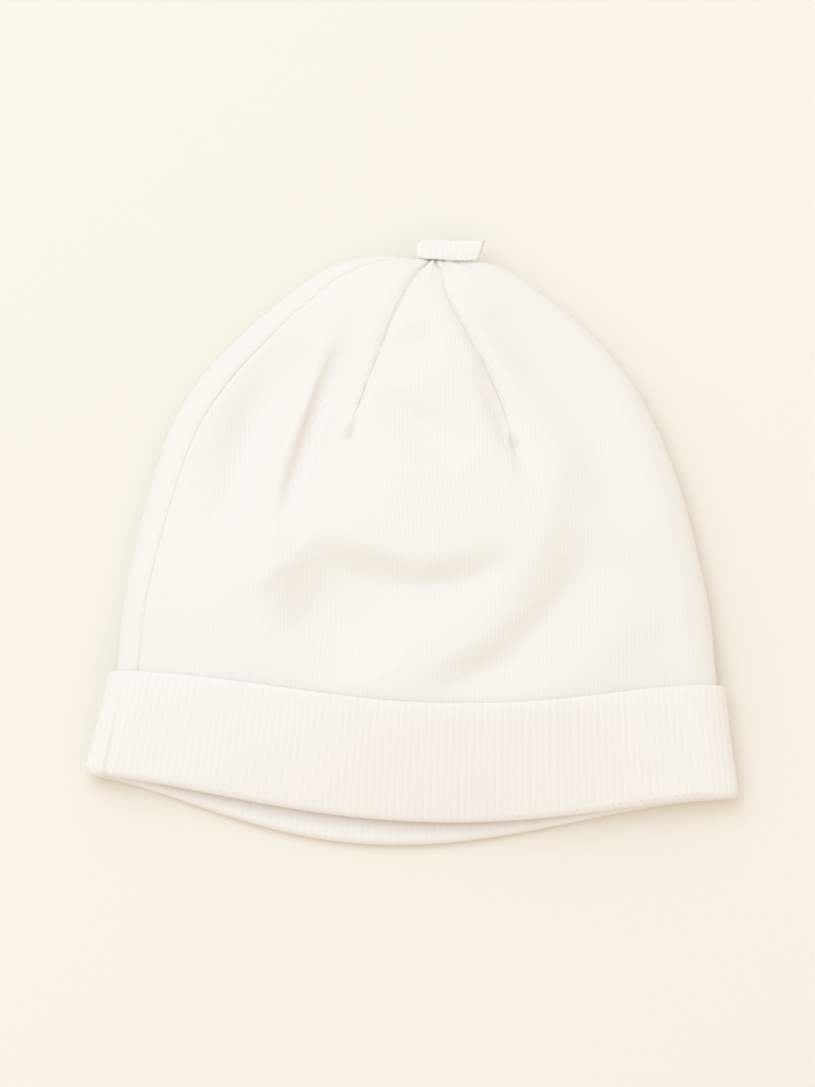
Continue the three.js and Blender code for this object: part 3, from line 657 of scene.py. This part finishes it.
def tab_root(top, half, ply, snug):
    """The tab's gathered root: a thick doubled strip that fills the dome's top, thins as it comes
    out of it, and bends up into the tab, in soft pleats."""
    s = np.linspace(0, 1, 31)
    out = curve(ROOT_ROWS[:, 0], ROOT_ROWS[:, 1], s) * TAB_OUT
    rise = curve(ROOT_ROWS[:, 0], ROOT_ROWS[:, 2], s) * (TAB_RISE - PRESSED_DOWN)
    middle = np.stack([np.full_like(s, top[0]), top[1] + out, top[2] + rise], axis=-1)
    forward = unit(np.gradient(middle, axis=0))
    over = np.cross(np.array([1.0, 0, 0]), forward)
    caught = 1 - smooth_step(ROOT_CAUGHT, ROOT_FREE, s[:, None])
    across, height = strip_section(half * (1 + ROOT_WIDENED * caught), ply + (snug - ply) * caught)
    sideways = across[..., None] * np.array([1.0, 0, 0])
    rings = middle[:, None, :] + sideways + height[..., None] * over[:, None, :]
    pleats = np.cos(2 * math.pi * np.arange(across.shape[1]) / across.shape[1] * PLEATS)
    rings = rings + ring_normals(rings) * (PLEAT_HEIGHT * pleats)[None, :, None]
    cloth = np.stack([across, np.repeat(s[:, None] * ROOT_LENGTH, across.shape[1], axis=1)], axis=-1)
    return closed_rings("tab_root", rings, cloth)


def joined(first, second):
    """The first piece as one closed mesh with the second, which it crosses, by Boolean union."""
    union = first.modifiers.new("union", "BOOLEAN")
    union.operation = "UNION"
    union.object = second
    depsgraph = bpy.context.evaluated_depsgraph_get()
    mesh = bpy.data.meshes.new_from_object(
        first.evaluated_get(depsgraph), preserve_all_data_layers=True, depsgraph=depsgraph
    )
    first.modifiers.clear()
    first.data = mesh
    bpy.data.objects.remove(second)
    return first


def top_tab():
    """The tab on its root, which fills the room that the two panels' tops leave for it."""
    places = body_point(np.array([0.0, ROUND / 2, 1.0, 3.0]), np.ones(4))
    left, right, above, below = places
    top = np.array([(left[0] + right[0]) / 2, (left[1] + right[1]) / 2, (above[2] + below[2]) / 2])
    half = (right[0] - left[0]) / 2 - CROWN_WALL - PIECE_GAP
    snug = ROOT_SNUG * ((above[2] - below[2]) / 2 - CROWN_WALL - PIECE_GAP)
    return joined(tab_strip(top), tab_root(top, half, min(TAB_PLY, snug), snug))


front_marks, back_marks = (LEFT_SEAM, RIGHT_SEAM), (RIGHT_SEAM, ROUND + LEFT_SEAM)
crown_front = knit_panel("crown_front_knit", front_marks, FRONT_COLUMNS, DARTS_FRONT, SOFT_FOLDS)
crown_back = knit_panel("crown_back_knit", back_marks, BACK_COLUMNS, DARTS_BACK, {})
cuff = cuff_band()
tab = top_tab()

# Materials


class Wire:
    """A shader socket that works in arithmetic: each operator adds the Math node that does it."""

    def __init__(self, tree, socket=None):
        self.tree = tree
        self.socket = socket

    def node(self, kind, settings=None, inputs=None, output=0):
        """A new node of this kind, its settings made first and then the values or links of its
        sockets."""
        made = self.tree.nodes.new(kind)
        for key, value in (settings or {}).items():
            setattr(made, key, value)
        for key, value in (inputs or {}).items():
            if isinstance(value, Wire):
                self.tree.links.new(value.socket, made.inputs[key])
            else:
                made.inputs[key].default_value = value
        return Wire(self.tree, made.outputs[output] if made.outputs else None)

    def maths(self, operation, *values):
        """A Math node on these values or sockets."""
        return self.node("ShaderNodeMath", {"operation": operation}, dict(enumerate(values)))

    def __add__(self, other):
        return self.maths("ADD", self, other)

    __radd__ = __add__

    def __sub__(self, other):
        return self.maths("SUBTRACT", self, other)

    def __rsub__(self, other):
        return self.maths("SUBTRACT", other, self)

    def __mul__(self, other):
        return self.maths("MULTIPLY", self, other)

    __rmul__ = __mul__

    def __abs__(self):
        return self.maths("ABSOLUTE", self)

    def cos(self):
        return self.maths("COSINE", self)

    def part(self, low, high):
        """0 at low and 1 at high, smooth between them."""
        settings = {"interpolation_type": "SMOOTHSTEP"}
        return self.node("ShaderNodeMapRange", settings, {0: self, 1: low, 2: high, 3: 0.0, 4: 1.0})


# Scales of the yarn's noises, and what each part of the knit adds to its height and to its colour:
# painted shade in the furrows and between the stitches, and a mottle of the yarn's own tone.
WANDER_SCALE, FUZZ_SCALE, MOTTLE_SCALE = 160.0, 4200.0, 55.0
WANDER_ACROSS, WANDER_UP = 0.12, 0.3  # how far ribs and courses wander, in phase
LEG_LEAN = 1.1
LINE_HALF = 0.09  # half the width of the line down a rib's middle, in phase
RIB_RISE, STITCH_RISE, LINE_RISE, FUZZ_RISE = 0.62, 0.26, 0.06, 0.16
# Painted shade: how much the furrows between ribs and the gaps between stitches are darkened; the mottle is
# the yarn's own uneven tone.
FURROW_PAINTED_SHADE, STITCH_PAINTED_SHADE, MOTTLE_TINT = 0.8, 0.16, 0.5
ROUGH, FUZZ_ROUGH = 0.88, 0.1


def knit_material(name, pitch, course_height, furrow, relief, colour, shade_and_mottle_colour):
    """Rib knit on the cloth map in millimetres. Across, ribs repeat at the pitch and the furrow
    between two is where one minus the cosine of the phase is low. Up each rib, stitches are
    pairs of legs leaning to its middle: the phase of a course grows with the distance from the
    middle of the rib. Fine noise is the fuzz of the yarn. The colour is mixed towards the darker
    one as painted shade in the furrows and between the stitches, and shifted either way by a
    mottle of the yarn's own uneven tone."""
    material = bpy.data.materials.new(name)
    material.use_nodes = True
    tree = material.node_tree
    tree.nodes.clear()
    start = Wire(tree)
    cloth = start.node("ShaderNodeUVMap", {"uv_map": "cloth"})
    split = cloth.node("ShaderNodeSeparateXYZ", None, {0: cloth})
    u, v = split, Wire(tree, split.socket.node.outputs[1])
    place = start.node("ShaderNodeTexCoord", output=3)
    wander = start.node("ShaderNodeTexNoise", None, {"Vector": place, "Scale": WANDER_SCALE, "Detail": 2.0})
    phase = u * (MM / pitch) + wander * WANDER_ACROSS
    local = phase.maths("FRACT", phase) - 0.5
    rib = 0.5 - 0.5 * (phase * (2 * math.pi)).cos()
    leg = abs(local)
    course = v * (MM / course_height) + leg * LEG_LEAN + wander * WANDER_UP
    stitch = 0.5 + 0.5 * (course * (2 * math.pi)).cos()
    middle_line = leg.part(0.0, LINE_HALF)
    fuzz = start.node(
        "ShaderNodeTexNoise", None, {"Vector": place, "Scale": FUZZ_SCALE, "Detail": 3.0, "Roughness": 0.65}
    )
    height = (
        rib * RIB_RISE + stitch * rib * STITCH_RISE + middle_line * rib * LINE_RISE + fuzz * FUZZ_RISE
    )
    bump = start.node("ShaderNodeBump", None, {"Strength": 1.0, "Distance": relief, "Height": height})
    mottle = start.node("ShaderNodeTexNoise", None, {"Vector": place, "Scale": MOTTLE_SCALE, "Detail": 4.0})
    # Painted shade: the colour darkens in the furrows between ribs and between the stitches, and the mottle
    # shifts it either way as the yarn's own tone.
    painted_furrow_shade = (1 - rib.part(0.0, furrow)) * FURROW_PAINTED_SHADE
    painted_shade_and_mottle = painted_furrow_shade + (1 - stitch) * STITCH_PAINTED_SHADE + (mottle - 0.5) * MOTTLE_TINT
    tint = start.node(
        "ShaderNodeMix",
        {"data_type": "RGBA", "clamp_factor": True},
        {"Factor": painted_shade_and_mottle, 6: (*colour, 1), 7: (*shade_and_mottle_colour, 1)},
        output=2,
    )
    rough = ROUGH + fuzz * FUZZ_ROUGH
    shader = start.node(
        "ShaderNodeBsdfPrincipled",
        None,
        {
            "Base Color": tint,
            "Roughness": rough,
            "Normal": bump,
            "Specular IOR Level": 0.2,
            "Sheen Weight": 0.25,
            "Sheen Roughness": 0.5,
        },
    )
    start.node("ShaderNodeOutputMaterial", None, {"Surface": shader})
    return material


# The second colour of each knit is the darker one, used for the painted shade in the furrows and for the
# mottle.
crown_knit = knit_material(
    "crown_fine_knit", CROWN_RIB, CROWN_COURSE, furrow=0.5, relief=0.00004,
    colour=(0.875, 0.841, 0.802), shade_and_mottle_colour=(0.855, 0.816, 0.772),
)
# The cuff's colour is set lighter than the crown's as painted light: it makes up for the light lost where
# the cuff slopes away from the window towards the hem.
cuff_knit = knit_material(
    "cuff_rib_knit", CUFF_RIB, CUFF_COURSE, furrow=0.4, relief=0.00006,
    colour=(0.893, 0.858, 0.826), shade_and_mottle_colour=(0.868, 0.830, 0.793),
)


def plain_material(name, colour, roughness):
    """An even, dull surface."""
    material = bpy.data.materials.new(name)
    material.use_nodes = True
    shader = material.node_tree.nodes["Principled BSDF"]
    shader.inputs["Base Color"].default_value = (*colour, 1)
    shader.inputs["Roughness"].default_value = roughness
    shader.inputs["Specular IOR Level"].default_value = 0.2
    return material


for piece, node, slot, material in (
    (crown_front, "crown_front", "crown_knit", crown_knit),
    (crown_back, "crown_back", "crown_knit", crown_knit),
    (cuff, "cuff", "cuff_rib", cuff_knit),
    (tab, "top_tab", "cuff_rib", cuff_knit),
):
    piece.data.materials.append(material)
    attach(piece, "root")
    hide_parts(node)

# Floor, light and camera

FLOOR_REACH = 3.0
FLOOR_COLOUR = (0.878, 0.832, 0.745)
ROOM_COLOUR, ROOM_STRENGTH = (1.0, 0.912, 0.808), 0.90
WINDOW_COLOUR = (0.60, 0.86, 1.12)  # cooler than the room, so that the shadows are warm

floor_mesh = bpy.data.meshes.new("floor")
floor_corners = [(x * FLOOR_REACH, y * FLOOR_REACH, 0) for x, y in ((-1, -1), (1, -1), (1, 1), (-1, 1))]
floor_mesh.from_pydata(floor_corners, [], [(0, 1, 2, 3)])
floor = bpy.data.objects.new("floor", floor_mesh)
bpy.context.scene.collection.objects.link(floor)
floor.data.materials.append(plain_material("cream_floor", FLOOR_COLOUR, roughness=0.9))

world = bpy.data.worlds.new("soft_room")
world.use_nodes = True
background = world.node_tree.nodes["Background"]
background.inputs["Color"].default_value = (*ROOM_COLOUR, 1)
background.inputs["Strength"].default_value = ROOM_STRENGTH
bpy.context.scene.world = world


def soft_light(name, place, aim, size, power, colour):
    """A round area light at a place, turned so that it shines along the line to the point aimed at."""
    light = bpy.data.lights.new(name, "AREA")
    light.shape = "DISK"
    light.size = size
    light.energy = power
    light.color = colour
    lamp = bpy.data.objects.new(name, light)
    lamp.location = place
    direction = np.array(aim) - np.array(place)
    lamp.rotation_euler = (
        math.acos(-direction[2] / np.linalg.norm(direction)),
        0,
        math.atan2(direction[1], direction[0]) - math.pi / 2,
    )
    bpy.context.scene.collection.objects.link(lamp)


soft_light(
    "window", place=(-0.46, 0.56, 1.42), aim=(0, 0, 0), size=1.5, power=10.5, colour=WINDOW_COLOUR
)

# The camera looks from 80 degrees above the floor. In the photograph, the cap's middle lies so many
# pixels to the right of the picture's middle and above it, and a pixel is so long on the cap.
IMAGE_HEIGHT = 1087
MIDDLE_RIGHT, MIDDLE_UP = 4.0, 6.5
PIXEL = 0.0002603
DISTANCE = 0.8
ELEVATION = math.radians(80)
MIDDLE_HEIGHT = 0.008
SENSOR = 36.0
camera_data = bpy.data.cameras.new("camera")
camera_data.sensor_fit = "VERTICAL"
camera_data.sensor_height = SENSOR
camera_data.lens = SENSOR * DISTANCE / (IMAGE_HEIGHT * PIXEL)
camera = bpy.data.objects.new("camera", camera_data)
view_up = np.array([0, math.sin(ELEVATION), math.cos(ELEVATION)])
towards_camera = np.array([0, -math.cos(ELEVATION), math.sin(ELEVATION)])
off_middle = PIXEL * (MIDDLE_RIGHT * np.array([1, 0, 0]) + MIDDLE_UP * view_up)
aim = np.array([0, 0, MIDDLE_HEIGHT]) - off_middle
camera.location = aim + DISTANCE * towards_camera
camera.rotation_euler = (math.pi / 2 - ELEVATION, 0, 0)
bpy.context.scene.collection.objects.link(camera)
bpy.context.scene.camera = camera
bpy.context.scene.view_settings.view_transform = "Standard"
